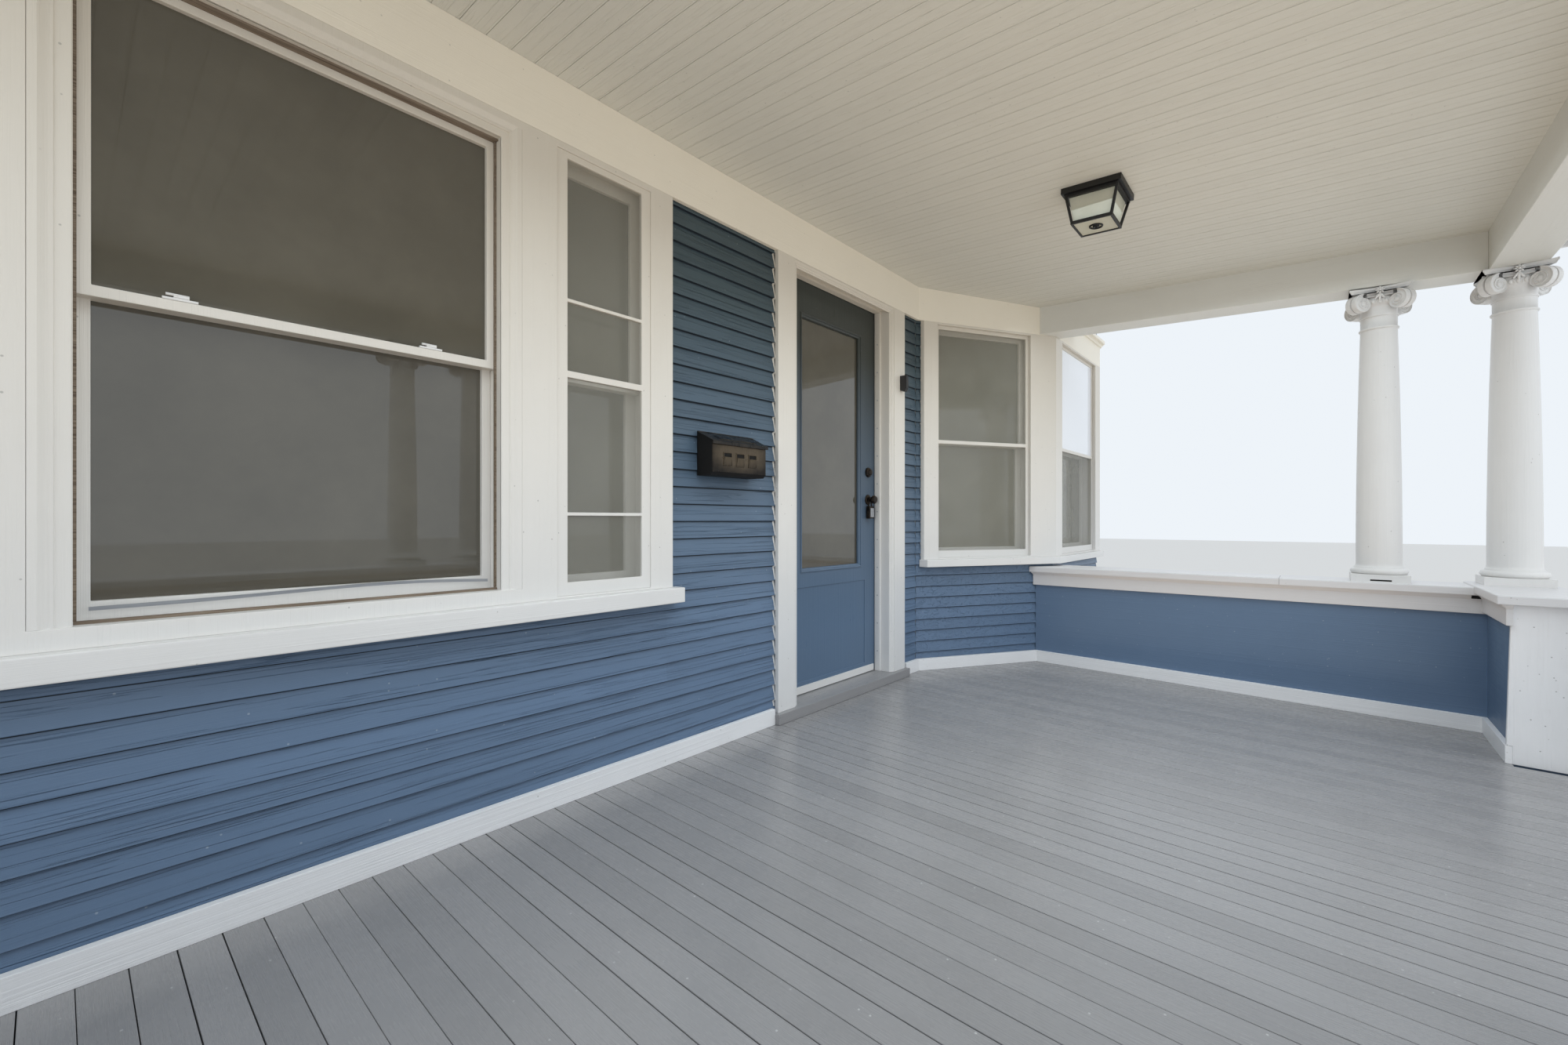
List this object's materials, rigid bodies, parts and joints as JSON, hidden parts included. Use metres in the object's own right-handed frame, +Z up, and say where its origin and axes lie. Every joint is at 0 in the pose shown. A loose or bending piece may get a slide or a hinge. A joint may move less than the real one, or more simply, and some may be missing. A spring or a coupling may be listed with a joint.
{
  "type": "front porch",
  "caption": "Timber front porch with hipped roof, round columns on panelled knee walls, clapboard house wall, bay window, wide window, glazed door and front steps.",
  "frame": {"origin": "on the ground below the face of the house wall, at the middle of the porch between its end knee walls", "axes": "+Z up, +Y into the house, +X along the house wall towards the bay; the street is at -Y"},
  "size_m": [9.245, 4.046, 4.086],
  "materials": {
    "siding_blue": "satin paint on clapboards",
    "trim_white": "satin white paint, worn at edges",
    "ceiling_white": "white paint on beaded boards",
    "foundation_stone": "rough grey blocks",
    "floor_grey": "satin grey deck paint",
    "door_teal": "satin paint",
    "window_glass": "clear window glass",
    "light_glass": "seeded frosted glass",
    "black_metal": "satin black",
    "dark_metal": "aged dark bronze",
    "letter_metal": "dark bronze enamel",
    "black_plastic": "matte",
    "roof_shingle": "granular asphalt shingles"
  },
  "bodies": {
    "porch": {"house_foundation": "foundation_stone", "house_wall_left": "siding_blue", "house_wall_right": "siding_blue", "house_wall_at_door": "siding_blue", "bay_wall_near": "siding_blue", "bay_wall_front": "siding_blue", "bay_wall_far": "siding_blue", "wall_frieze": "trim_white", "wall_skirting": "trim_white", "front_window_frame": "trim_white", "bay_window_frames": "trim_white", "window_sills": "trim_white", "window_sashes": "trim_white", "window_glass": "window_glass", "door_frame": "trim_white", "door_sill": "floor_grey", "letter_box": "letter_metal", "door_bell": "black_plastic", "porch_foundation": "foundation_stone", "floor_deck": "floor_grey", "knee_wall_right": "siding_blue", "knee_wall_left": "siding_blue", "front_knee_walls": "siding_blue", "knee_wall_caps": "trim_white", "porch_skirting": "trim_white", "end_boards": "trim_white", "step_treads": "floor_grey", "step_risers": "floor_grey", "step_stringers": "floor_grey", "handrails": "black_metal", "columns": "trim_white", "column_capitals": "trim_white", "front_beam": "trim_white", "end_beams": "trim_white", "porch_ceiling": "ceiling_white", "light_frame": "black_metal", "light_glass": "light_glass", "porch_roof": "roof_shingle", "eaves_boards": "trim_white"},
    "door": {"front_door": "door_teal", "door_glass": "window_glass", "door_sweep": "trim_white", "door_hardware": "dark_metal", "key_box": "dark_metal"},
    "letter_lid": {"letter_box_lid": "letter_metal"}
  },
  "joints": [
    {"name": "front_door_hinge", "type": "hinge", "parent": "porch", "child": "door", "pos_m": [0.929, 0.1513, 0.66], "axis": [0, 0, 1], "range_deg": [0, 105]},
    {"name": "letter_lid_hinge", "type": "hinge", "parent": "porch", "child": "letter_lid", "pos_m": [0.245, -0.01, 2.06561], "axis": [-1, 0, 0], "range_deg": [0, 100]}
  ]
}
